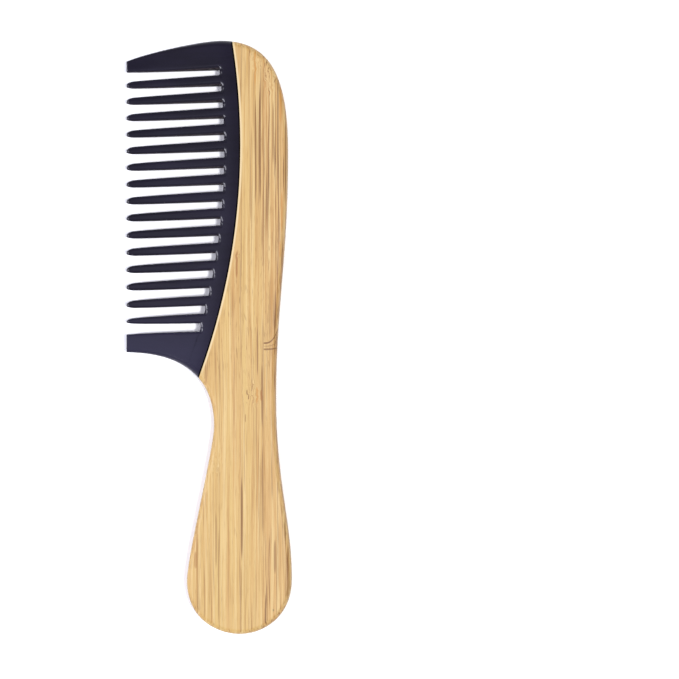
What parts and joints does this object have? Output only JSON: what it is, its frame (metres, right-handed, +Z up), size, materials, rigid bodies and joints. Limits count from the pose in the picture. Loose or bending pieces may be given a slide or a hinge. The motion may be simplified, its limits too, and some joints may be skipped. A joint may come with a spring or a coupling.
{
  "type": "wide tooth comb",
  "caption": "Flat wide tooth comb: a dark horn plate with rounded teeth and broad guard teeth, let into a laminated bamboo handle with a bulbous foot.",
  "frame": {"origin": "middle of the comb's footprint, on the flat underside it lies on", "axes": "+Y along the comb from the foot of the handle to the top of the head, +X from the tooth tips to the back of the head, +Z up through the thickness"},
  "size_m": [0.0544, 0.195, 0.008],
  "materials": {
    "horn": "polished dark horn",
    "bamboo": "sanded and oiled bamboo"
  },
  "bodies": {
    "root": {"comb_plate": "horn", "handle_strip_1": "bamboo", "handle_strip_2": "bamboo", "handle_strip_3": "bamboo", "handle_strip_4": "bamboo", "handle_strip_5": "bamboo", "handle_strip_6_foot": "bamboo", "handle_strip_6_back": "bamboo"}
  },
  "joints": []
}
